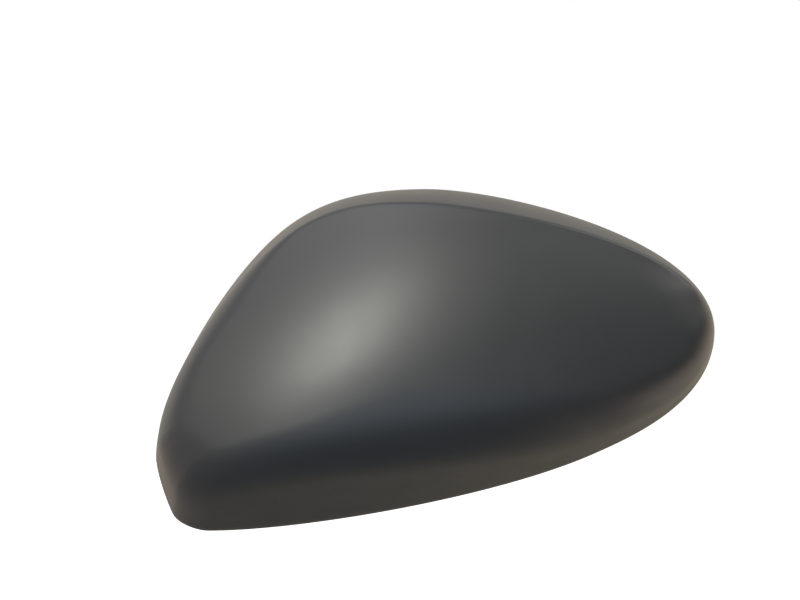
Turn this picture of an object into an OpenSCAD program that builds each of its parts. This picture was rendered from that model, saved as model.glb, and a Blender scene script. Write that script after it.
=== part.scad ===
// Cover of a car's wing mirror: one thin moulded cap that clips over the back of the mirror head.
// X runs from the inboard side to the outer tip and Z is up. The crown faces -Y, and the cap
// opens towards +Y. The origin is on the axis of the main locating pin, where it leaves its boss.
// Inside the functions a place is [x, z, d]: x from the inboard side, z from the lowest point
// of the rim, and d the depth in front of the plane of the rim.

/* [Rim outline] */
// Length of the cap, from the inboard side to the outer tip
cap_length = 232; // [210:1:260]
// Height of the cap, from the lowest point of the rim to its peak
cap_height = 142; // [130:1:160]
// Height of the point furthest inboard
inboard_up = 31; // [26:1:38]
// Distance of the upper shoulder from the inboard side
shoulder_in = 53.5; // [48:0.5:60]
// Distance of the upper shoulder below the peak
shoulder_drop = 16.5; // [12:0.5:21]
// Slope of the edge at the upper shoulder, in degrees
shoulder_slope = 38; // [32:1:44]
// Distance of the peak from the inboard side
peak_in = 112.5; // [102:0.5:122]
// Distance of the outer tip below the peak
tip_drop = 59; // [52:1:66]
// Distance of the underside corner from the outer tip
corner_in = 50; // [44:1:56]
// Height of the underside corner
corner_up = 32; // [28:1:37]
// Slope of the edge at the underside corner, in degrees
corner_slope = 24; // [20:1:28]
// Distance of the lowest point from the inboard side
lowest_in = 22; // [19:1:28]
// Distance of the heel, at the lower inboard corner, from the inboard side
heel_in = 7; // [5:0.5:9]
// Height of the heel
heel_up = 7; // [5:0.5:9]
// Slope of the edge at the heel, in degrees
heel_slope = 63; // [56:1:68]

/* [Walls and crown] */
// Thickness of the moulded wall
wall = 2.5; // [2:0.1:3.2]
// Depth of the crown where the ridge crosses its middle
crown_depth = 76; // [68:1:86]
// Lean of the top wall at the rim, in degrees
lean_top = 2.6; // [1.5:0.1:4.5]
// How far the top wall rolls inward over the depth of the crown
top_roll = 10; // [6:0.5:13]
// Lean of the wall at the outer tip, in degrees
lean_tip = 7; // [5:0.5:9]
// Lean of the bottom wall, in degrees
lean_bottom = 24; // [20:0.5:26]
// Lean of the inboard wall, in degrees
lean_inboard = 6.5; // [4.5:0.5:9]
// Distance of the middle of the ridge from the inboard side
ridge_in = 77; // [68:1:88]
// Height of the middle of the ridge
ridge_up = 82; // [72:1:92]
// Tilt of the ridge away from upright, in degrees
ridge_tilt = 33; // [26:1:40]
// Half width over which the ridge is rounded
ridge_round = 36; // [26:1:46]
// Fall of the crown on the inboard side of the ridge, as a slope
fall_inboard = 0.66; // [0.55:0.01:0.75]
// Fall of the crown on the outboard side of the ridge, as a slope
fall_outboard = 0.08; // [0:0.01:0.15]
// Radius to which the crown is bowed from end to end
bow_length = 330; // [280:5:420]
// Radius to which the crown is bowed from top to bottom
bow_height = 120; // [105:5:160]
// Height at which the crown stands most forward
bow_up = 78; // [70:1:88]

/* [Edge round the crown] */
// Radius of the crisp crease along the top
crease_r = 1.2; // [0.8:0.1:2]
// Rise of the crown beside the crease, at the middle of the top
crease_flare = 0.9; // [0:0.1:1.2]
// Width of the crown's margin that rises to the crease or rolls down to the tip
margin_w = 8; // [6:0.5:10]
// How far the crown's margin rolls down at the outer tip
tip_roll = 3; // [1:0.25:4]
// Radius of the edge on the inboard side
edge_inboard_r = 9; // [6:0.5:13]
// Radius of the edge at the outer tip
edge_tip_r = 11; // [8:0.5:14]
// Radius of the belly edge along the bottom
edge_bottom_r = 25; // [20:0.5:27]
// Radius of the edge at the heel
edge_heel_r = 20; // [15:0.5:24]
// Fullness of the edge's section: 2 is round, and more is squarer and eases in more gently
edge_fullness = 2.7; // [2.2:0.1:3.2]

/* [Rim] */
// Thickness of the tongue at the rim, which enters the groove of the mirror head
tongue = 1.5; // [1.2:0.1:1.8]
// Length of the tongue
tongue_l = 4; // [3:0.5:6]

/* [Snap hooks] */
// Width of a snap hook
hook_w = 12; // [9:0.5:15]
// Thickness of a snap hook
hook_t = 2.2; // [1.8:0.1:2.8]
// Gap between a snap hook and the wall at its root
hook_gap = 4; // [3:0.5:6]
// Depth of a hook's tip below the rim
hook_tip = 5; // [4.5:0.5:8]
// Free length of a snap hook
hook_l = 20; // [16:1:24]
// Reach of the barb on a snap hook
barb = 1.8; // [1.2:0.1:2.4]
// Height of the barb with its ramp
barb_h = 5; // [4:0.5:7]
// Width of the blunt nose of the barb
barb_nose = 1.2; // [0.8:0.1:1.6]
// Rise of a hook's gussets above its foot
gusset_rise = 6; // [3:0.5:9]

/* [Locating pins] */
// Radius of a locating pin
pin_r = 3; // [2.5:0.1:3.5]
// Length of a locating pin above its boss
pin_l = 14; // [10:1:18]
// Chamfer on the end of a locating pin
pin_chamfer = 0.8; // [0.4:0.1:1.2]
// Radius of the boss under a locating pin
boss_r = 5.5; // [5:0.1:7]
// Reach of a boss's fins beyond it, at the crown
fin_reach = 8; // [5:0.5:10]
// Distance of a fin's top below the face of its boss
fin_drop = 5; // [3:0.5:8]
// Height of a fin's upright edge at the crown
fin_foot = 9; // [6:0.5:12]
// Distance of the main pin from the inboard side
main_pin_in = 48; // [44:1:54]
// Height of the main pin above the lowest point of the rim
main_pin_up = 46; // [42:1:52]
// Depth of the ends of the pins below the rim
pin_deep = 22; // [18:1:26]
// Distance of the outboard pin from the outer tip
outer_pin_in = 44; // [40:1:50]
// Height of the outboard pin above the lowest point of the rim
outer_pin_up = 84; // [78:1:90]

/* [Ribs] */
// Thickness of the ribs and gussets
rib_t = 1.6; // [1.2:0.1:2.2]
// Reach of a wall rib at its top
rib_crest = 1; // [0.6:0.1:2]
// Reach of a wall rib at its foot
rib_reach = 7; // [5:0.5:9]
// Length of a wall rib
rib_l = 24; // [18:1:28]
// Depth of a wall rib's top below the rim
rib_top = 8; // [7:0.5:10]

/* [Hidden] */

// Places along the outline are counted in its seven spans, clockwise from the inboard extreme.
// Steps round each span, and from the rim to the edge and on to the apex, closer together at the edge
span_steps = [17, 11, 21, 12, 22, 6, 7];
wall_steps = 8;
crown_steps = 13;
step_crowding = 1.35;
// Halvings that find a point of the surface, and steps that find its corner, with their start
halvings = 26;
corner_steps = 30;
corner_stride = 0.7;
corner_guess = 50;
round_facets = 48;

// Knots of the rim outline, clockwise from the inboard extreme, with the way the edge runs there
knots = [
    [0, inboard_up], [shoulder_in, cap_height - shoulder_drop], [peak_in, cap_height],
    [cap_length, cap_height - tip_drop], [cap_length - corner_in, corner_up], [lowest_in, 0],
    [heel_in, heel_up]];
headings = [90, shoulder_slope, 0, -90, 180 + corner_slope, 180, 180 - heel_slope];
spans = len(knots);
// Fullness of each span at its start and end, as a share of the span's chord
fullness = [
    [0.24, 0.28], [0.32, 0.42], [0.25, 0.28], [0.41, 0.24], [0.27, 0.24], [0.31, 0.28], [0.24, 0.24]];

// Axis about which the sections close up to the apex, a little outboard of the ridge
axis_place = [ridge_in + 23, ridge_up + 6];

// By the place along the outline: radius of the edge, and how far the crown's margin rolls down to it
edge_shapes = [
    [0, edge_inboard_r, 0], [0.5, edge_inboard_r - 1, 0], [1.1, crease_r, -crease_flare / 2],
    [1.5, crease_r, -crease_flare], [2.1, crease_r, -crease_flare / 2], [2.65, crease_r, -crease_flare / 2],
    [2.8, crease_r + 0.8, tip_roll / 2], [2.92, (crease_r + edge_tip_r) / 2, tip_roll],
    [3.1, edge_tip_r, tip_roll / 2], [3.5, (edge_tip_r + edge_bottom_r) / 2, 0],
    [4, edge_bottom_r, 0], [5, edge_bottom_r, 0], [6, edge_heel_r, 0], [7, edge_inboard_r, 0]];
least_edge_r = 0.3;

// Places of the snap hooks and wall ribs along the outline
hook_places = [0.42, 1.55, 2.32, 2.72, 3.5, 4.3, 4.72];
rib_places = [0.2, 0.68, 0.9, 1.25, 1.85, 2.12, 2.52, 2.88, 3.2, 3.8, 4.12, 4.5, 4.9, 5.35, 6.5];

main_pin_place = [main_pin_in, main_pin_up];
outer_pin_place = [cap_length - outer_pin_in, outer_pin_up];

function heading(a) = [cos(a), sin(a)];
function ease(t) = (1 - cos(180 * t)) / 2;
function mix(a, b, t) = a * (1 - t) + b * t;

// Outline of the rim: a smooth run of cubic spans through the knots
function span(i) =
    let(j = (i + 1) % spans, chord = norm(knots[j] - knots[i]))
    [knots[i], knots[i] + heading(headings[i]) * fullness[i][0] * chord,
     knots[j] - heading(headings[j]) * fullness[i][1] * chord, knots[j]];
function span_point(s, t) =
    s[0] * pow(1 - t, 3) + s[1] * 3 * t * pow(1 - t, 2) + s[2] * 3 * t * t * (1 - t) + s[3] * pow(t, 3);
function span_run(s, t) =
    let(v = (s[1] - s[0]) * pow(1 - t, 2) + (s[2] - s[1]) * 2 * t * (1 - t) + (s[3] - s[2]) * t * t)
    v / norm(v);
function rim_point(u) = span_point(span(floor(u) % spans), u - floor(u));
function rim_run(u) = span_run(span(floor(u) % spans), u - floor(u));

// Move of a wall point down to a depth: the bottom leans most, and the top rolls inward
function along_lean(p) = mix(tan(lean_inboard), -tan(lean_tip), p[0] / cap_length);
function top_move(d) = tan(lean_top) * d + top_roll * pow(d / crown_depth, 3);
function wall_move(p, d) =
    let(up = p[1] / cap_height)
    [along_lean(p) * d, tan(lean_bottom) * d * pow(1 - up, 2) - top_move(d) * up];

// Slope of the wall at a depth, and the shrink of its section down to there
function wall_rate(p, d) =
    let(up = p[1] / cap_height, top = tan(lean_top) + 3 * top_roll * d * d / pow(crown_depth, 3))
    [along_lean(p), tan(lean_bottom) * pow(1 - up, 2) - top * up];
function section_shrink(p, d) =
    let(up = p[1] / cap_height)
    [(tan(lean_inboard) + tan(lean_tip)) * d / cap_length,
     (tan(lean_bottom) * d * 2 * (1 - up) + top_move(d)) / cap_height];

// Radius of the edge and roll of the crown at a place along the outline, eased between the stations
function edge_shape(u, i = 0) =
    u > edge_shapes[i + 1][0] ? edge_shape(u, i + 1) :
    let(a = edge_shapes[i], b = edge_shapes[i + 1], t = ease((u - a[0]) / (b[0] - a[0])))
    [mix(a[1], b[1], t), mix(a[2], b[2], t)];

// Crown: a tilted rounded ridge on a shell that is bowed both ways, with its depth and steepness
function crown(x, z) =
    let(dx = x - ridge_in, dz = z - ridge_up, dv = z - bow_up,
        s = dx * cos(ridge_tilt) - dz * sin(ridge_tilt),
        root = sqrt(s * s + ridge_round * ridge_round),
        lop = (fall_outboard - fall_inboard) / 2, fall = (fall_outboard + fall_inboard) / 2,
        fs = lop + fall * s / root,
        gx = fs * cos(ridge_tilt) + dx / bow_length,
        gz = dv / bow_height - fs * sin(ridge_tilt))
    [crown_depth - lop * s - fall * (root - ridge_round) - dx * dx / (2 * bow_length)
        - dv * dv / (2 * bow_height), sqrt(1 + gx * gx + gz * gz)];

// A column is a strip of the shell from one rim point to the apex: [rim point, run, [radius, roll]]
function column(u) = [rim_point(u), rim_run(u), edge_shape(u)];

// From the axis to the wall of a column at a depth, and the place in it: h is 1 on the wall
function arm(c, d) = c[0] + wall_move(c[0], d) - axis_place;
function column_place(c, h, d) = axis_place + h * arm(c, d);

// Distance of the wall from the axis at a depth, square to the wall
function reach(c, d) =
    let(shrink = section_shrink(c[0], d), rate = wall_rate(c[0], d), a = arm(c, d),
        run = [c[1][0] * (1 - shrink[0]), c[1][1] * (1 - shrink[1])],
        out = [-run[1], run[0], run[1] * rate[0] - run[0] * rate[1]])
    (a[0] * out[0] + a[1] * out[1]) / norm(out);

// Distances of a place from the wall, along the column, and from the crown, below zero inside
function wall_and_crown(c, h, d, inset) =
    let(a = arm(c, d), place = axis_place + h * a, top = crown(place[0], place[1]),
        in_wall = (h - 1) * norm(a),
        roll = c[2][1] * pow(min(max(1 + in_wall / margin_w, 0), 2), 2))
    [in_wall + (inset == 0 ? 0 : inset * norm(a) / reach(c, d)), (d + roll - top[0]) / top[1] + inset];

// One surface through both, with the edge between them rounded
function surface_gap(c, h, d, inset) =
    let(g = wall_and_crown(c, h, d, inset), r = max(c[2][0] - inset, least_edge_r),
        a = max(g[0] + r, 0), b = max(g[1] + r, 0), f = edge_fullness)
    (g[0] < -r && g[1] < -r) ? max(g[0], g[1]) : pow(pow(a, f) + pow(b, f), 1 / f) - r;

// Where the wall would meet the crown with no rounding, as [h, d]
function corner(c, inset, h = 1, d = corner_guess, n = corner_steps) =
    n == 0 ? [h, d] :
    let(g = corner_stride * wall_and_crown(c, h, d, inset))
    corner(c, inset, h - g[0] / norm(arm(c, d)), d - g[1], n - 1);

// Place on the surface along a ray of slope a, counted against crown_depth
function along(c, a, inset, lo = 0, hi = 2, n = halvings) =
    let(m = (lo + hi) / 2)
    n == 0 ? let(d = m * sin(a) * crown_depth, q = column_place(c, m * cos(a), d)) [q[0], -d, q[1]] :
    surface_gap(c, m * cos(a), m * sin(a) * crown_depth, inset) < 0
        ? along(c, a, inset, m, hi, n - 1) : along(c, a, inset, lo, m, n - 1);

columns = [for (i = [0:spans - 1]) for (k = [0:span_steps[i] - 1]) column(i + k / span_steps[i])];

// Rings of points from the one under the apex down to the rim
function rings(inset) =
    let(edge = [for (c = columns) let(k = corner(c, inset)) atan2(k[1] / crown_depth, k[0])])
    [for (j = [1:crown_steps + wall_steps])
        [for (i = [0:len(columns) - 1])
            let(a = j <= crown_steps
                ? mix(edge[i], 90, pow(1 - j / crown_steps, step_crowding))
                : edge[i] * (1 - pow((j - crown_steps) / wall_steps, step_crowding)))
            along(columns[i], a, inset)]];

// Ring on the wall at one depth
function wall_ring(inset, d) = [for (c = columns)
    let(q = column_place(c, 1 - inset / reach(c, d), d)) [q[0], -d, q[1]]];

function apex(inset) = let(top = crown(axis_place[0], axis_place[1]))
    [axis_place[0], inset * top[1] - top[0], axis_place[1]];

// Solid through a run of rings, closed at both ends by a point
module loft(start, run, end) {
    n = len(run[0]);
    last = 1 + len(run) * n;
    polyhedron(
        points = concat([start], [for (ring = run) each ring], [end]),
        faces = concat(
            [for (i = [0:n - 1]) [0, 1 + i, 1 + (i + 1) % n]],
            [for (j = [0:len(run) - 2], i = [0:n - 1], half = [0, 1])
                let(a = 1 + j * n + i, b = 1 + j * n + (i + 1) % n)
                half == 0 ? [a, a + n, b + n] : [a, b + n, b]],
            [for (i = [0:n - 1]) [last, last - n + (i + 1) % n, last - n + i]]));
}

// The moulded wall itself, with the tongue round its rim
module shell() {
    outer = rings(0);
    inner = rings(wall);
    lip = [for (ring = inner) if (-ring[0][1] > tongue_l) ring];
    loft(apex(0),
        concat(outer, [wall_ring(tongue, 0), wall_ring(tongue, tongue_l), wall_ring(wall, tongue_l)],
            [for (j = [len(lip) - 1:-1:0]) lip[j]]),
        apex(wall));
}

// What lies inside the middle of the wall: the roots of hooks, ribs and bosses end there
module core() {
    run = rings(wall / 2);
    loft(apex(wall / 2), run, [axis_place[0], 0, axis_place[1]]);
}

// Puts a profile drawn as [inward, depth] at a place of the rim, and makes it as wide as asked
module on_wall(u, width) {
    p = rim_point(u);
    run = rim_run(u);
    multmatrix([
        [run[1], 0, run[0], p[0]],
        [0, -1, 0, 0],
        [-run[0], 0, run[1], p[1]],
        [0, 0, 0, 1]])
        translate([0, 0, -width / 2]) linear_extrude(width) children();
}

// How far the inner face of the wall stands inward of the rim at a depth
function inner_face(u, d) =
    let(m = wall_move(rim_point(u), d), run = rim_run(u)) wall + m[0] * run[1] - m[1] * run[0];

// Snap hook: a tongue that stands off the wall on a foot, with a barb at its end
module hook(u) {
    root = hook_tip + hook_l;
    stand = inner_face(u, root) + hook_gap;
    back = stand + hook_t;
    on_wall(u, hook_w) polygon([
        [0, root + hook_t], [0, root], [stand, root], [stand, hook_tip], [stand + barb_nose, hook_tip],
        [back + barb, hook_tip + barb_h - barb_nose], [back + barb, hook_tip + barb_h],
        [back, hook_tip + barb_h], [back, root + hook_t]]);
    for (side = [-1, 1]) hook_gusset(u, side * (hook_w / 2 - rib_t), root, stand);
}

// Gusset between the wall and the foot of a snap hook, set in from the hook's side
module hook_gusset(u, aside, root, stand) {
    p = rim_run(u) * aside;
    translate([p[0], 0, p[1]]) on_wall(u, rib_t) polygon([
        [0, root - gusset_rise], [stand + hook_t / 2, root + hook_t / 2], [0, root + stand]]);
}

// Wall rib: a thin fin, square to the wall, that the mirror head rests against
module wall_rib(u) {
    foot_d = rib_top + rib_l;
    foot = inner_face(u, foot_d);
    on_wall(u, rib_t) polygon([
        [0, rib_top], [inner_face(u, rib_top) + rib_crest, rib_top], [foot + rib_reach, foot_d - rib_t],
        [foot + rib_reach, foot_d], [foot, foot_d + rib_reach], [0, foot_d + rib_reach]]);
}

// Boss under a locating pin, with four fins that spread towards the crown
module boss(place) {
    h = crown(place[0], place[1])[0] - pin_deep - pin_l;
    translate([place[0], -pin_deep - pin_l, place[1]]) rotate([90, 0, 0]) {
        cylinder(r = boss_r, h = h, $fn = round_facets);
        for (turn = [45:90:315]) rotate(turn)
            translate([0, rib_t / 2, 0]) rotate([90, 0, 0]) linear_extrude(rib_t) polygon([
                [0, fin_drop], [boss_r, fin_drop], [boss_r + fin_reach, h - fin_foot],
                [boss_r + fin_reach, h], [0, h]]);
    }
}

// Locating pin with a chamfered end, drawn from its end back into its boss
module pin(place) {
    translate([place[0], -pin_deep, place[1]]) rotate([90, 0, 0]) {
        cylinder(r1 = pin_r - pin_chamfer, r2 = pin_r, h = pin_chamfer, $fn = round_facets);
        translate([0, 0, pin_chamfer])
            cylinder(r = pin_r, h = pin_l - pin_chamfer + rib_t, $fn = round_facets);
    }
}

// Everything but the pins, brought to the exact overall length and height
module moulding() {
    resize([cap_length, 0, cap_height]) {
        shell();
        intersection() {
            core();
            union() {
                for (u = hook_places) hook(u);
                for (u = rib_places) wall_rib(u);
                boss(main_pin_place);
                boss(outer_pin_place);
            }
        }
    }
}

module mirror_cover() {
    color("dimgray")
        translate([-main_pin_place[0], pin_deep + pin_l, -main_pin_place[1]]) {
            moulding();
            pin(main_pin_place);
            pin(outer_pin_place);
        }
}

mirror_cover();
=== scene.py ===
"""Looks of a wing mirror cover: one moulded cap, primed outside and bare plastic inside.

Sizes are in millimetres until a mesh is made. Places inside the functions are [x, z] from the
cap's inboard side and its lowest rim point, with d the depth in front of the plane of the rim.
"""

import math

import bmesh
import bpy
import numpy as np
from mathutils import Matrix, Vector


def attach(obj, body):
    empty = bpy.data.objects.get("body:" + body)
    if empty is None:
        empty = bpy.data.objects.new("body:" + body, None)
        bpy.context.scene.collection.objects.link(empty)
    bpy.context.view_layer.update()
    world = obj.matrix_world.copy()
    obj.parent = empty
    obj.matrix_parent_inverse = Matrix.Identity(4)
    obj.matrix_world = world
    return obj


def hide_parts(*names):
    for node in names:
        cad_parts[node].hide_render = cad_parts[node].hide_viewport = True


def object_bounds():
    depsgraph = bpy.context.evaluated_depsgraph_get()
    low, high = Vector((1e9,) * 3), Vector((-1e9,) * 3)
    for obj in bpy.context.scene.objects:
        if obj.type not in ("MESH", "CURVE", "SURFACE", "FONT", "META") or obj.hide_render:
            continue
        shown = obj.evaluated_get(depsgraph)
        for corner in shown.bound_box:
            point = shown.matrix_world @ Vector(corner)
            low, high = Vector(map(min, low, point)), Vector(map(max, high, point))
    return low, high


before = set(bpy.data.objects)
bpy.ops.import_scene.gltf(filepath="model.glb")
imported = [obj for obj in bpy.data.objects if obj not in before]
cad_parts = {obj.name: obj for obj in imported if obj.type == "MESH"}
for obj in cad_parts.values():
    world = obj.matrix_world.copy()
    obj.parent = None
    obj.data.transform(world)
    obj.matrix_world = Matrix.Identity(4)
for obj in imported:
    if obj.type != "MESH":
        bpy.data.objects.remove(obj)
cad_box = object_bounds()

MM = 0.001
IMAGE_W, IMAGE_H = 800, 600

# Rim outline: overall size, and the knots with the way the edge runs at each
CAP_LENGTH, CAP_HEIGHT = 232, 142
INBOARD_UP = 31
SHOULDER_IN, SHOULDER_DROP, SHOULDER_SLOPE = 53.5, 16.5, 38
PEAK_IN = 112.5
TIP_DROP = 59
CORNER_IN, CORNER_UP, CORNER_SLOPE = 50, 32, 24
LOWEST_IN = 22
HEEL_IN, HEEL_UP, HEEL_SLOPE = 7, 7, 63
KNOTS = np.array([
    [0, INBOARD_UP], [SHOULDER_IN, CAP_HEIGHT - SHOULDER_DROP], [PEAK_IN, CAP_HEIGHT],
    [CAP_LENGTH, CAP_HEIGHT - TIP_DROP], [CAP_LENGTH - CORNER_IN, CORNER_UP], [LOWEST_IN, 0],
    [HEEL_IN, HEEL_UP]], float)
HEADINGS = np.radians([90, SHOULDER_SLOPE, 0, -90, 180 + CORNER_SLOPE, 180, 180 - HEEL_SLOPE])
FULLNESS = [[0.24, 0.28], [0.32, 0.42], [0.25, 0.28], [0.41, 0.24], [0.27, 0.24], [0.31, 0.28], [0.24, 0.24]]
SPAN_COUNT = len(KNOTS)

# Walls and crown
WALL = 2.5
CROWN_DEPTH = 76
LEAN_TOP, LEAN_TIP, LEAN_BOTTOM, LEAN_INBOARD = (math.tan(math.radians(a)) for a in (2.6, 7, 24, 6.5))
TOP_ROLL = 9.3
RIDGE_IN, RIDGE_UP = 77, 82
RIDGE_TILT = math.radians(33)
RIDGE_ROUND = 36
FALL_INBOARD, FALL_OUTBOARD = 0.66, 0.08
BOW_LENGTH, BOW_HEIGHT, BOW_UP = 330, 120, 78
AXIS_PLACE = np.array([RIDGE_IN + 23, RIDGE_UP + 6], float)

# By the place along the outline: radius of the edge round the crown, how far the crown's margin rolls down
# to it, and the width of that margin
EDGE_STATIONS = np.array([
    [0, 14, 0, 8], [0.5, 8, 0, 8], [1.1, 1.2, -0.45, 8], [1.5, 1.2, -0.9, 8], [2.1, 1.2, -0.45, 8],
    [2.6, 1.2, -0.2, 10], [2.8, 2, 2.2, 15], [2.92, 6.1, 3.6, 15], [3.1, 12, 1.5, 10], [3.5, 22, 0, 8],
    [4, 29, 0, 8], [5, 21, 0, 8], [6, 19, 0, 8], [7, 14, 0, 8]])
LEAST_EDGE_R = 0.3
# Exponent of the edge's section: 2 would be a circle, and more eases into the faces on both sides
EDGE_FULLNESS = 2.7

# Rim and its tongue
TONGUE, TONGUE_L = 1.5, 4
RIM_ROUND = 0.3

# Snap hooks
HOOK_W, HOOK_T, HOOK_GAP, HOOK_TIP, HOOK_L = 12, 2.2, 4, 5, 20
BARB, BARB_H, BARB_NOSE = 1.8, 5, 1.2
GUSSET_RISE = 6
HOOK_PLACES = [0.42, 1.55, 2.32, 2.72, 3.5, 4.3, 4.72]

# Locating pins with their bosses and fins
PIN_R, PIN_L, PIN_CHAMFER, PIN_DEEP = 3, 14, 0.8, 22
BOSS_R, FIN_REACH, FIN_DROP, FIN_FOOT = 5.5, 8, 5, 9
MAIN_PIN = np.array([48, 46], float)
OUTER_PIN = np.array([CAP_LENGTH - 44, 84], float)

# Wall ribs
RIB_T, RIB_CREST, RIB_REACH, RIB_L, RIB_TOP = 1.6, 1, 7, 24, 8
RIB_PLACES = [0.2, 0.68, 0.9, 1.25, 1.85, 2.12, 2.52, 2.88, 3.2, 3.8, 4.12, 4.5, 4.9, 5.35, 6.5]

# Fineness of the mesh
SPAN_STEPS = [70, 44, 80, 44, 84, 26, 28]
WALL_RINGS, CROWN_RINGS = 30, 46
RING_CROWDING = 1.9
HALVINGS = 40
CORNER_STEPS = 60
CORNER_STRIDE = 0.7
CORNER_GUESS = 50
ROUND_STEPS = 64
EDGE_ROUND = 0.25
SHARP_EDGE = math.radians(25)
SMOOTH_BELOW = math.radians(32)


def mix(a, b, t):
    return a * (1 - t) + b * t


def ease(t):
    return (1 - np.cos(np.pi * t)) / 2


def rim_spans():
    """Four control points for each cubic span of the rim outline."""
    spans = []
    for i in range(SPAN_COUNT):
        j = (i + 1) % SPAN_COUNT
        chord = np.linalg.norm(KNOTS[j] - KNOTS[i])
        start, end = (np.array([math.cos(HEADINGS[k]), math.sin(HEADINGS[k])]) for k in (i, j))
        spans.append([KNOTS[i], KNOTS[i] + start * FULLNESS[i][0] * chord,
                      KNOTS[j] - end * FULLNESS[i][1] * chord, KNOTS[j]])
    return np.array(spans)


SPANS = rim_spans()


def rim_place(u):
    """Places on the rim outline, and the way it runs there."""
    span = SPANS[np.floor(u).astype(int) % SPAN_COUNT]
    t = (u - np.floor(u))[:, None]
    a, b, c, d = (span[:, k] for k in range(4))
    place = a * (1 - t) ** 3 + 3 * b * t * (1 - t) ** 2 + 3 * c * t * t * (1 - t) + d * t ** 3
    run = (b - a) * (1 - t) ** 2 + 2 * (c - b) * t * (1 - t) + (d - c) * t * t
    return place, run / np.linalg.norm(run, axis=1, keepdims=True)


def wall_move(place, d):
    """Move of a wall point down to a depth. The top side rolls inward as it nears the crown."""
    up = place[..., 1] / CAP_HEIGHT
    top = LEAN_TOP * d + TOP_ROLL * (d / CROWN_DEPTH) ** 3
    return np.stack([mix(LEAN_INBOARD, -LEAN_TIP, place[..., 0] / CAP_LENGTH) * d,
                     LEAN_BOTTOM * d * (1 - up) ** 2 - top * up], -1)


def wall_rate(place, d):
    """Slope of the wall at a depth."""
    up = place[..., 1] / CAP_HEIGHT
    top = LEAN_TOP + 3 * TOP_ROLL * d * d / CROWN_DEPTH ** 3
    along = mix(LEAN_INBOARD, -LEAN_TIP, place[..., 0] / CAP_LENGTH)
    return np.stack([along + 0 * d, LEAN_BOTTOM * (1 - up) ** 2 - top * up], -1)


def section_shrink(place, d):
    """Shrink of the wall's section, along and up, down to a depth."""
    up = place[..., 1] / CAP_HEIGHT
    top = LEAN_TOP * d + TOP_ROLL * (d / CROWN_DEPTH) ** 3
    return np.stack([(LEAN_INBOARD + LEAN_TIP) * d / CAP_LENGTH,
                     (LEAN_BOTTOM * d * 2 * (1 - up) + top) / CAP_HEIGHT], -1)


def edge_shape(u):
    """Radius of the edge, and roll and width of the margin, at places along the outline."""
    stations = EDGE_STATIONS[:, 0]
    i = np.clip(np.searchsorted(stations, u, side="right") - 1, 0, len(stations) - 2)
    t = (u - stations[i]) / (stations[i + 1] - stations[i])
    return mix(EDGE_STATIONS[i, 1:], EDGE_STATIONS[i + 1, 1:], ease(t)[:, None])


def crown(x, z):
    """Depth and steepness of the crown: a tilted rounded ridge on a shell that is bowed both ways."""
    dx, dz, dv = x - RIDGE_IN, z - RIDGE_UP, z - BOW_UP
    s = dx * math.cos(RIDGE_TILT) - dz * math.sin(RIDGE_TILT)
    root = np.sqrt(s * s + RIDGE_ROUND ** 2)
    lop, fall = (FALL_OUTBOARD - FALL_INBOARD) / 2, (FALL_OUTBOARD + FALL_INBOARD) / 2
    slope = lop + fall * s / root
    gx = slope * math.cos(RIDGE_TILT) + dx / BOW_LENGTH
    gz = dv / BOW_HEIGHT - slope * math.sin(RIDGE_TILT)
    depth = (CROWN_DEPTH - lop * s - fall * (root - RIDGE_ROUND)
             - dx * dx / (2 * BOW_LENGTH) - dv * dv / (2 * BOW_HEIGHT))
    return depth, np.sqrt(1 + gx * gx + gz * gz)


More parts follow.
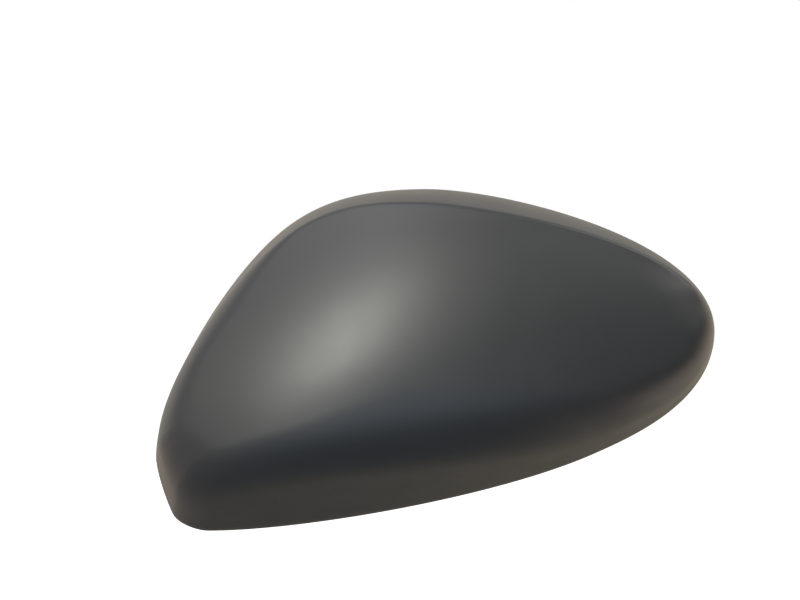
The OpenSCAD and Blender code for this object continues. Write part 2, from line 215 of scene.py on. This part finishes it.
class Columns:
    """Strips of the shell, each from one rim point to the apex.

    In them h is 1 on the wall and 0 on the axis.
    """

    def __init__(self, span_steps):
        u = np.concatenate([i + np.arange(n) / n for i, n in enumerate(span_steps)])
        self.rim, self.run = (v[:, None] for v in rim_place(u))
        self.radius, self.roll, self.margin = edge_shape(u).T[..., None]

    def arm(self, d):
        return self.rim + wall_move(self.rim, d) - AXIS_PLACE

    def place(self, h, d):
        return AXIS_PLACE + h[..., None] * self.arm(d)

    def reach(self, d):
        """Distance of the wall from the axis, square to the wall."""
        run = self.run * (1 - section_shrink(self.rim, d))
        rate = wall_rate(self.rim, d)
        out = np.stack([-run[..., 1], run[..., 0],
                        run[..., 1] * rate[..., 0] - run[..., 0] * rate[..., 1]], -1)
        return (self.arm(d) * out[..., :2]).sum(-1) / np.linalg.norm(out, axis=-1)

    def wall_and_crown(self, h, d, inset):
        place = self.place(h, d)
        depth, steepness = crown(place[..., 0], place[..., 1])
        arm = np.linalg.norm(self.arm(d), axis=-1)
        wall = (h - 1) * arm
        roll = self.roll * np.clip(1 + wall / self.margin, 0, 2) ** 2
        return wall + inset * arm / self.reach(d), (d + roll - depth) / steepness + inset

    def gap(self, h, d, inset):
        """Distance from the one surface through both, with the edge between them rounded."""
        wall, top = self.wall_and_crown(h, d, inset)
        r = np.maximum(self.radius - inset, LEAST_EDGE_R)
        rounded = (np.maximum(wall + r, 0) ** EDGE_FULLNESS
                   + np.maximum(top + r, 0) ** EDGE_FULLNESS) ** (1 / EDGE_FULLNESS) - r
        return np.where((wall < -r) & (top < -r), np.maximum(wall, top), rounded)

    def corner_angle(self, inset):
        """Where the wall would meet the crown with no rounding, as the slope of a ray."""
        h = np.ones(self.radius.shape)
        d = np.full_like(h, CORNER_GUESS)
        for _ in range(CORNER_STEPS):
            wall, top = self.wall_and_crown(h, d, inset)
            h = h - CORNER_STRIDE * wall / np.linalg.norm(self.arm(d), axis=-1)
            d = d - CORNER_STRIDE * top
        return np.arctan2(d / CROWN_DEPTH, h)

    def along(self, angle, inset):
        """Places on the surface along rays, one column a row, as [x, d, z]."""
        lo, hi = np.zeros_like(angle), np.full_like(angle, 2)
        for _ in range(HALVINGS):
            m = (lo + hi) / 2
            inside = self.gap(m * np.cos(angle), m * np.sin(angle) * CROWN_DEPTH, inset) < 0
            lo, hi = np.where(inside, m, lo), np.where(inside, hi, m)
        m = (lo + hi) / 2
        d = m * np.sin(angle) * CROWN_DEPTH
        place = self.place(m * np.cos(angle), d)
        return np.stack([place[..., 0], d, place[..., 1]], -1)

    def rings(self, inset, depth, wall_rings, crown_rings):
        """Rings from the one next to the apex down to a depth on the wall, crowded towards the edge."""
        edge = self.corner_angle(inset)
        d = np.full_like(edge, depth)
        start = np.arctan2(d / CROWN_DEPTH, 1 - inset / self.reach(d))
        t = np.arange(1, crown_rings + 1)[::-1] / crown_rings
        s = np.arange(1, wall_rings + 1) / wall_rings
        top = mix(edge, math.pi / 2, (t ** RING_CROWDING)[None])[:, 1:]
        return self.along(np.hstack([top, edge, mix(edge, start, (s ** RING_CROWDING)[None])]), inset)

    def wall_ring(self, inset, depth):
        d = np.full(self.radius.shape, float(depth))
        place = self.place(1 - inset / self.reach(d), d)
        return np.stack([place[..., 0], d, place[..., 1]], -1)


def apex(inset):
    depth, steepness = crown(*AXIS_PLACE)
    return np.array([AXIS_PLACE[0], depth - inset * steepness, AXIS_PLACE[1]])


def rim_section():
    """Section of the rim over the tongue and its ledge, as (inset, depth), with every edge rounded."""
    r, turns = RIM_ROUND, np.radians([0, 30, 60, 90])
    arcs = [(0, r, -1, False), (TONGUE - r, 0, 1, True),
            (TONGUE, TONGUE_L - r, 1, False), (WALL - r, TONGUE_L, 1, True)]
    section = []
    for inset, depth, down, flat_first in arcs:
        for t in turns:
            across, along = (math.sin(t), 1 - math.cos(t)) if flat_first else (1 - math.cos(t), math.sin(t))
            section.append((inset + r * across, depth + down * r * along))
    return section


def to_frame(points):
    """From [x, d, z] in millimetres to the shared frame in metres."""
    x, d, z = np.moveaxis(np.asarray(points, float), -1, 0)
    return np.stack([x - MAIN_PIN[0], PIN_DEEP + PIN_L - d, z - MAIN_PIN[1]], -1) * MM


def new_object(name, points, faces, material=None):
    mesh = bpy.data.meshes.new(name)
    mesh.from_pydata(to_frame(points).tolist(), [], faces)
    if material is not None:
        mesh.polygons.foreach_set("material_index", material)
    thing = bpy.data.objects.new(name, mesh)
    bpy.context.scene.collection.objects.link(thing)
    return thing


def loft(name, rings, start, end, inner_from=None):
    """Closed mesh through rings [ring, column, xdz], with a point at each end.

    The faces from ring inner_from on get the second material.
    """
    count, n = rings.shape[:2]
    last = 1 + count * n
    around = [(i, (i + 1) % n) for i in range(n)]
    faces = [(0, 1 + j, 1 + i) for i, j in around]
    for k in range(count - 1):
        a, b = 1 + k * n, 1 + (k + 1) * n
        faces += [(a + i, a + j, b + j, b + i) for i, j in around]
    faces += [(last, last - n + i, last - n + j) for i, j in around]
    bare = None
    if inner_from is not None:
        bare = [0] * (inner_from * n) + [1] * (len(faces) - inner_from * n)
    points = np.concatenate([[start], rings.reshape(-1, 3), [end]])
    return new_object(name, points, faces, bare)


def shell():
    """The moulded wall, with the tongue round its rim."""
    columns = Columns(SPAN_STEPS)
    outer = columns.rings(0, RIM_ROUND, WALL_RINGS, CROWN_RINGS)
    inner = columns.rings(WALL, TONGUE_L + RIM_ROUND, WALL_RINGS, CROWN_RINGS)
    section = rim_section()
    rim = np.concatenate([columns.wall_ring(inset, depth) for inset, depth in section[1:-1]], 1)
    rings = np.concatenate([outer, rim, inner[:, ::-1]], 1).swapaxes(0, 1)
    bare_from = outer.shape[1] + len(section) // 2
    return loft("cap", rings, apex(0), apex(WALL), bare_from)


def core():
    """What lies inside the middle of the wall: the roots of hooks, ribs and bosses end there."""
    columns = Columns([n // 2 for n in SPAN_STEPS])
    rings = columns.rings(WALL / 2, 0, WALL_RINGS // 2, CROWN_RINGS // 2).swapaxes(0, 1)
    return loft("core", rings, apex(WALL / 2), np.array([AXIS_PLACE[0], 0, AXIS_PLACE[1]]))


def soften(thing, radius, steps=2):
    """Rounds every real edge of a small feature."""
    edit = bmesh.new()
    edit.from_mesh(thing.data)
    bmesh.ops.recalc_face_normals(edit, faces=edit.faces)
    edges = [e for e in edit.edges if e.calc_face_angle(0) > SHARP_EDGE]
    bmesh.ops.bevel(edit, geom=edges, offset=radius * MM, segments=steps, profile=0.5, affect="EDGES")
    edit.to_mesh(thing.data)
    edit.free()
    return thing


def on_wall(name, u, width, profile, aside=0):
    """A profile drawn as [inward, depth] at a place of the rim, made as wide as asked."""
    place, run = (v[0] for v in rim_place(np.array([u])))
    inward = np.array([run[1], -run[0]])
    points = []
    for w in (aside - width / 2, aside + width / 2):
        for across, depth in profile:
            x, z = place + inward * across + run * w
            points.append([x, depth, z])
    n = len(profile)
    faces = [tuple(range(n)), tuple(range(2 * n - 1, n - 1, -1))]
    faces += [(i, n + i, n + (i + 1) % n, (i + 1) % n) for i in range(n)]
    return new_object(name, points, faces)


def inner_face(u, depth):
    """How far the inner face of the wall stands inward of the rim at a depth."""
    place, run = (v[0] for v in rim_place(np.array([u])))
    move = wall_move(place, depth)
    return WALL + move[0] * run[1] - move[1] * run[0]


def hook(u):
    """Snap hook: a tongue that stands off the wall on a foot, with a barb at its end, and its two gussets."""
    root = HOOK_TIP + HOOK_L
    stand = inner_face(u, root) + HOOK_GAP
    back = stand + HOOK_T
    tongue = on_wall("hook", u, HOOK_W, [
        (0, root + HOOK_T), (0, root), (stand, root), (stand, HOOK_TIP), (stand + BARB_NOSE, HOOK_TIP),
        (back + BARB, HOOK_TIP + BARB_H - BARB_NOSE), (back + BARB, HOOK_TIP + BARB_H),
        (back, HOOK_TIP + BARB_H), (back, root + HOOK_T)])
    gussets = [on_wall("gusset", u, RIB_T, [
        (0, root - GUSSET_RISE), (stand + HOOK_T / 2, root + HOOK_T / 2), (0, root + stand)], aside)
        for aside in (RIB_T - HOOK_W / 2, HOOK_W / 2 - RIB_T)]
    return [soften(thing, EDGE_ROUND) for thing in (tongue, *gussets)]


def wall_rib(u):
    """A thin fin, square to the wall, that the mirror head rests against."""
    foot_d = RIB_TOP + RIB_L
    foot = inner_face(u, foot_d)
    return soften(on_wall("rib", u, RIB_T, [
        (0, RIB_TOP), (inner_face(u, RIB_TOP) + RIB_CREST, RIB_TOP), (foot + RIB_REACH, foot_d - RIB_T),
        (foot + RIB_REACH, foot_d), (foot, foot_d + RIB_REACH), (0, foot_d + RIB_REACH)]), EDGE_ROUND)


def lathe(name, place, profile):
    """A profile of (radius, depth), from one end on the axis to the other, turned about a pin's axis."""
    turns = np.arange(ROUND_STEPS) * 2 * math.pi / ROUND_STEPS
    rings = np.array([[[place[0] + r * math.cos(t), d, place[1] + r * math.sin(t)] for t in turns]
                      for r, d in profile])
    ends = [np.array([place[0], d, place[1]]) for d in (profile[0][1], profile[-1][1])]
    return loft(name, rings, *ends)


def boss(place):
    """Boss under a locating pin, with four fins that spread towards the crown."""
    face = PIN_DEEP + PIN_L
    foot = crown(*place)[0]
    r = EDGE_ROUND
    things = [lathe("boss", place, [(BOSS_R - r, face), (BOSS_R - r / 4, face + r / 4), (BOSS_R, face + r),
                                    (BOSS_R, foot)])]
    profile = [(0, face + FIN_DROP), (BOSS_R, face + FIN_DROP), (BOSS_R + FIN_REACH, foot - FIN_FOOT),
               (BOSS_R + FIN_REACH, foot), (0, foot)]
    n = len(profile)
    for turn in np.radians([45, 135, 225, 315]):
        out = np.array([math.cos(turn), math.sin(turn)])
        side = np.array([-out[1], out[0]])
        points = []
        for w in (-RIB_T / 2, RIB_T / 2):
            for reach, depth in profile:
                x, z = place + out * reach + side * w
                points.append([x, depth, z])
        faces = [tuple(range(n)), tuple(range(2 * n - 1, n - 1, -1))]
        faces += [(i, n + i, n + (i + 1) % n, (i + 1) % n) for i in range(n)]
        things.append(soften(new_object("fin", points, faces), EDGE_ROUND))
    return things


def pin(place):
    """Locating pin with a chamfered end, drawn from its end back into its boss."""
    r = EDGE_ROUND
    end, face = PIN_DEEP, PIN_DEEP + PIN_L
    return lathe("pin", place, [
        (PIN_R - PIN_CHAMFER - r, end), (PIN_R - PIN_CHAMFER, end + r / 3),
        (PIN_R - r / 3, end + PIN_CHAMFER - r / 3), (PIN_R, end + PIN_CHAMFER + r / 3),
        (PIN_R, face - 2 * r), (PIN_R + r / 2, face - r / 2), (PIN_R + 2 * r, face),
        (PIN_R + 2 * r, face + RIB_T)])


def combine(base, tool, operation):
    """Joins or cuts two closed meshes, and removes the second."""
    change = base.modifiers.new(operation, "BOOLEAN")
    change.operation, change.solver, change.object = operation, "MANIFOLD", tool
    graph = bpy.context.evaluated_depsgraph_get()
    mesh = bpy.data.meshes.new_from_object(base.evaluated_get(graph), depsgraph=graph)
    base.modifiers.clear()
    base.data = mesh
    bpy.data.objects.remove(tool)
    return base


def inside_features():
    """Hooks, ribs and bosses as one mesh, cut off inside the middle of the wall."""
    things = [thing for u in HOOK_PLACES for thing in hook(u)]
    things += [wall_rib(u) for u in RIB_PLACES]
    things += boss(MAIN_PIN) + boss(OUTER_PIN)
    base = things[0]
    for thing in things[1:]:
        combine(base, thing, "UNION")
    combine(base, core(), "INTERSECT")
    for place in (MAIN_PIN, OUTER_PIN):
        combine(base, pin(place), "UNION")
    return base


class Nodes:
    """Short calls for building a material or a world out of nodes."""

    def __init__(self, tree):
        self.tree = tree
        tree.nodes.clear()

    def add(self, kind, inputs=None, **settings):
        node = self.tree.nodes.new(kind)
        for key, value in settings.items():
            setattr(node, key, value)
        for key, value in (inputs or {}).items():
            if isinstance(value, bpy.types.NodeSocket):
                self.tree.links.new(value, node.inputs[key])
            else:
                node.inputs[key].default_value = value
        return node

    def noise(self, where, scale, detail=2.0, roughness=0.5):
        return self.add("ShaderNodeTexNoise", {
            "Vector": where, "Scale": scale, "Detail": detail, "Roughness": roughness}).outputs["Fac"]

    def ranged(self, value, low, high, to_low, to_high, smooth=False):
        kind = "SMOOTHSTEP" if smooth else "LINEAR"
        return self.add("ShaderNodeMapRange", {
            "Value": value, "From Min": low, "From Max": high, "To Min": to_low, "To Max": to_high},
            interpolation_type=kind).outputs["Result"]

    def math(self, operation, a, b):
        return self.add("ShaderNodeMath", {0: a, 1: b}, operation=operation).outputs[0]

    def colours(self, fac, a, b):
        node = self.add("ShaderNodeMix", {"Factor": fac}, data_type="RGBA")
        for key, value in ((6, a), (7, b)):
            if isinstance(value, bpy.types.NodeSocket):
                self.tree.links.new(value, node.inputs[key])
            else:
                node.inputs[key].default_value = (*value, 1)
        return node.outputs[2]

    def bump(self, height, strength, distance, before=None):
        inputs = {"Height": height, "Strength": strength, "Distance": distance}
        if before is not None:
            inputs["Normal"] = before
        return self.add("ShaderNodeBump", inputs).outputs["Normal"]


PRIMER, PRIMER_PALE = (0.036, 0.039, 0.043), (0.041, 0.043, 0.046)
PLASTIC, PLASTIC_PALE = (0.012, 0.012, 0.013), (0.019, 0.019, 0.020)
PRIMER_ROUGH = (0.47, 0.53)
PLASTIC_ROUGH = (0.36, 0.5)
# Specks of dust under the primer, in millimetres of the shared frame, with their radius and colour
SPECKS = [(-39.64, -7.99, -4.68), (15.04, -16.24, -20.57)]
SPECK_R = 0.35
SPECK_COLOUR = (0.16, 0.15, 0.14)
# Primer mist on the inside of the rim: where it starts and is full, and how uneven its border is, in metres
MIST_START, MIST_FULL, MIST_UNEVEN = 0.022, 0.002, 0.006


def new_material(name):
    material = bpy.data.materials.new(name)
    material.use_nodes = True
    nodes = Nodes(material.node_tree)
    where = nodes.add("ShaderNodeTexCoord").outputs["Object"]
    return material, nodes, where


def primer_finish(nodes, where):
    """Colour, roughness and normal of sprayed satin primer: soft orange peel with a fine dry grain."""
    cloud = nodes.noise(where, 22, 3)
    mottle = nodes.noise(where, 420, 4, 0.6)
    colour = nodes.colours(nodes.math("MULTIPLY", cloud, mottle), PRIMER, PRIMER_PALE)
    rough = nodes.ranged(nodes.math("ADD", nodes.noise(where, 60, 3), mottle), 0.6, 1.4, *PRIMER_ROUGH)
    peel = nodes.bump(nodes.noise(where, 420, 2), 0.05, 0.0004)
    grain = nodes.bump(nodes.noise(where, 4200, 3, 0.7), 0.06, 0.0001, peel)
    return colour, rough, grain


def primed():
    """The outside: satin dark grey primer with two specks of dust under it."""
    material, nodes, where = new_material("satin_primer")
    colour, rough, normal = primer_finish(nodes, where)
    for place in SPECKS:
        away = nodes.add("ShaderNodeVectorMath", {0: where, 1: [v * MM for v in place]}, operation="DISTANCE")
        speck = nodes.ranged(away.outputs["Value"], 0, SPECK_R * MM, 1, 0, smooth=True)
        colour = nodes.colours(speck, colour, SPECK_COLOUR)
        normal = nodes.bump(speck, 0.6, 0.0003, normal)
    shader = nodes.add("ShaderNodeBsdfPrincipled", {
        "Base Color": colour, "Roughness": rough, "Normal": normal, "Specular IOR Level": 1.0})
    nodes.add("ShaderNodeOutputMaterial", {"Surface": shader.outputs["BSDF"]})
    return material


def bare_plastic():
    """The inside: black moulded plastic with a spark-eroded grain, and primer mist over the rim."""
    material, nodes, where = new_material("moulded_plastic")
    primer_colour, primer_rough, _ = primer_finish(nodes, where)
    depth = nodes.add("ShaderNodeSeparateXYZ", {0: where}).outputs["Y"]
    rim = (PIN_DEEP + PIN_L) * MM
    uneven = nodes.ranged(nodes.noise(where, 35, 3), 0.3, 0.7, -MIST_UNEVEN, MIST_UNEVEN)
    mist = nodes.ranged(nodes.math("ADD", depth, uneven), rim - MIST_START, rim - MIST_FULL, 0, 1, smooth=True)
    fleck = nodes.ranged(nodes.noise(where, 2600, 2), 0.35, 0.65, 0.25, 1)
    mist = nodes.math("MULTIPLY", mist, fleck)
    flow = nodes.noise(nodes.add("ShaderNodeMapping", {
        "Vector": where, "Scale": (1, 0.25, 1)}).outputs[0], 45, 4, 0.6)
    plastic = nodes.colours(flow, PLASTIC, PLASTIC_PALE)
    rough = nodes.ranged(flow, 0.3, 0.7, *PLASTIC_ROUGH)
    rough = nodes.add("ShaderNodeMix", {"Factor": mist, "A": rough, "B": primer_rough}).outputs[0]
    grain = nodes.bump(nodes.noise(where, 2600, 3, 0.7), 0.12, 0.0001)
    shader = nodes.add("ShaderNodeBsdfPrincipled", {
        "Base Color": nodes.colours(mist, plastic, primer_colour), "Roughness": rough, "Normal": grain,
        "Specular IOR Level": 0.5})
    nodes.add("ShaderNodeOutputMaterial", {"Surface": shader.outputs["BSDF"]})
    return material


def cover():
    """The whole cap as one moulded piece."""
    piece = combine(shell(), inside_features(), "UNION")
    piece.name = "moulded_cover"
    mesh = piece.data
    mesh.shade_smooth()
    mesh.set_sharp_from_angle(angle=SMOOTH_BELOW)
    mesh.materials.clear()
    mesh.materials.append(primed())
    mesh.materials.append(bare_plastic())
    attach(piece, "root")
    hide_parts("mirror_cover")
    return piece


# White floor: half its width and how far it lies below the cap, and the distances from the middle between
# which its own glow grows from the first to the second strength, all in metres
FLOOR_HALF, FLOOR_BELOW = 8.0, 0.06
GLOW_NEAR, GLOW_FAR, GLOW_STRENGTHS = 0.2, 1.2, (0.6, 1.0)


def floor():
    """White floor that only the camera sees, from above. Its far edge glows enough to be white."""
    level = cad_box[0][2] - FLOOR_BELOW
    corners = [(x * FLOOR_HALF, y * FLOOR_HALF, level) for x, y in ((-1, -1), (1, -1), (1, 1), (-1, 1))]
    mesh = bpy.data.meshes.new("floor")
    mesh.from_pydata(corners, [], [(0, 1, 2, 3)])
    thing = bpy.data.objects.new("floor", mesh)
    bpy.context.scene.collection.objects.link(thing)
    material = bpy.data.materials.new("white_sweep")
    material.use_nodes = True
    nodes = Nodes(material.node_tree)
    from_below = nodes.add("ShaderNodeNewGeometry").outputs["Backfacing"]
    seen = nodes.math("SUBTRACT", nodes.add("ShaderNodeLightPath").outputs["Is Camera Ray"], from_below)
    where = nodes.add("ShaderNodeTexCoord").outputs["Object"]
    away = nodes.add("ShaderNodeVectorMath", {0: where}, operation="LENGTH").outputs["Value"]
    strength = nodes.ranged(away, GLOW_NEAR, GLOW_FAR, *GLOW_STRENGTHS)
    glow = nodes.add("ShaderNodeEmission", {"Strength": strength}).outputs[0]
    matt = nodes.add("ShaderNodeBsdfDiffuse", {"Color": (0.8, 0.8, 0.8, 1)}).outputs[0]
    white = nodes.add("ShaderNodeAddShader", {0: matt, 1: glow}).outputs[0]
    clear = nodes.add("ShaderNodeBsdfTransparent").outputs[0]
    surface = nodes.add("ShaderNodeMixShader", {0: seen, 1: clear, 2: white}).outputs[0]
    nodes.add("ShaderNodeOutputMaterial", {"Surface": surface})
    mesh.materials.append(material)


def lamp(name, place, target, size, power, colour):
    light = bpy.data.lights.new(name, "AREA")
    light.shape = "RECTANGLE"
    light.size, light.size_y = size, size
    light.energy, light.color = power, colour
    thing = bpy.data.objects.new(name, light)
    thing.location = place
    thing.rotation_euler = (Vector(target) - Vector(place)).to_track_quat("-Z", "Y").to_euler()
    bpy.context.scene.collection.objects.link(thing)


def studio_side(nodes, aim, axis, low, colour):
    """A soft bright side of the studio, strongest the way its axis points."""
    axis = Vector(axis).normalized()
    toward = nodes.add("ShaderNodeVectorMath", {0: aim, 1: axis}, operation="DOT_PRODUCT").outputs["Value"]
    glow = nodes.math("POWER", nodes.ranged(toward, low, 1, 0, 1), 2.0)
    return nodes.add("ShaderNodeBackground", {"Color": (*colour, 1), "Strength": glow}).outputs[0]


def lighting():
    """A soft key lamp left of the camera, weak lamps all round, and a studio that is white to the camera."""
    middle = (0.068, 0, 0.025)
    lamp("key", (-0.39, -0.97, 0.35), (0.028, -0.04, 0.035), 0.6, 13.2, (1, 0.98, 0.9))
    lamp("top", (-0.35, -0.3, 1.0), middle, 0.6, 2.25, (0.95, 0.93, 1))
    lamp("left", (-0.95, 0.75, 0.3), middle, 0.8, 1.19, (0.9, 1, 0.92))
    lamp("up_right", (0.95, -0.1, 0.8), middle, 0.8, 4.73, (1, 0.97, 0.93))
    lamp("right_back", (1.0, 0.8, 0.1), middle, 0.8, 1.88, (1, 0.84, 0.65))
    lamp("bounce", (0.9, 0.5, -0.55), middle, 0.8, 2.02, (1, 0.83, 0.7))
    lamp("low_front", (0.1, -0.9, -0.75), middle, 0.8, 2.02, (0.59, 0.78, 1))
    world = bpy.data.worlds.new("studio")
    bpy.context.scene.world = world
    world.use_nodes = True
    nodes = Nodes(world.node_tree)
    seen = nodes.add("ShaderNodeLightPath").outputs["Is Camera Ray"]
    aim = nodes.add("ShaderNodeTexCoord").outputs["Generated"]
    lit = studio_side(nodes, aim, (0, 1, 0), 0.4, (0.649, 0.543, 0.324))
    for axis, colour in (((-1, 1, 0), (0.487, 0.382, 0.349)),
                         ((0, 1, 1), (0.465, 0.484, 0.52)),
                         ((0, 1, -1), (0.0537, 0.0762, 0.0993))):
        side = studio_side(nodes, aim, axis, 0.2, colour)
        lit = nodes.add("ShaderNodeAddShader", {0: lit, 1: side}).outputs[0]
    white = nodes.add("ShaderNodeBackground", {"Color": (1, 1, 1, 1), "Strength": 1.0}).outputs[0]
    nodes.add("ShaderNodeOutputWorld", {
        "Surface": nodes.add("ShaderNodeMixShader", {0: seen, 1: lit, 2: white}).outputs[0]})


# Framing of the photograph: its scale, and the pixels of the cap's inboard side and lowest point
PIXELS_PER_MM = 2.408
INBOARD_PX, LOWEST_PX = 155.9, 531.0
CAMERA_AWAY = 1200


def camera():
    """Level camera on a long lens, square to the crown."""
    data = bpy.data.cameras.new("camera")
    thing = bpy.data.objects.new("camera", data)
    bpy.context.scene.collection.objects.link(thing)
    x = (IMAGE_W / 2 - INBOARD_PX) / PIXELS_PER_MM
    z = (LOWEST_PX - IMAGE_H / 2) / PIXELS_PER_MM
    thing.location = to_frame([[x, CAMERA_AWAY, z]])[0]
    thing.rotation_euler = (math.pi / 2, 0, 0)
    data.lens = data.sensor_width * CAMERA_AWAY * PIXELS_PER_MM / IMAGE_W
    bpy.context.scene.camera = thing


bpy.context.scene.view_settings.view_transform = "Standard"
cover()
floor()
lighting()
camera()
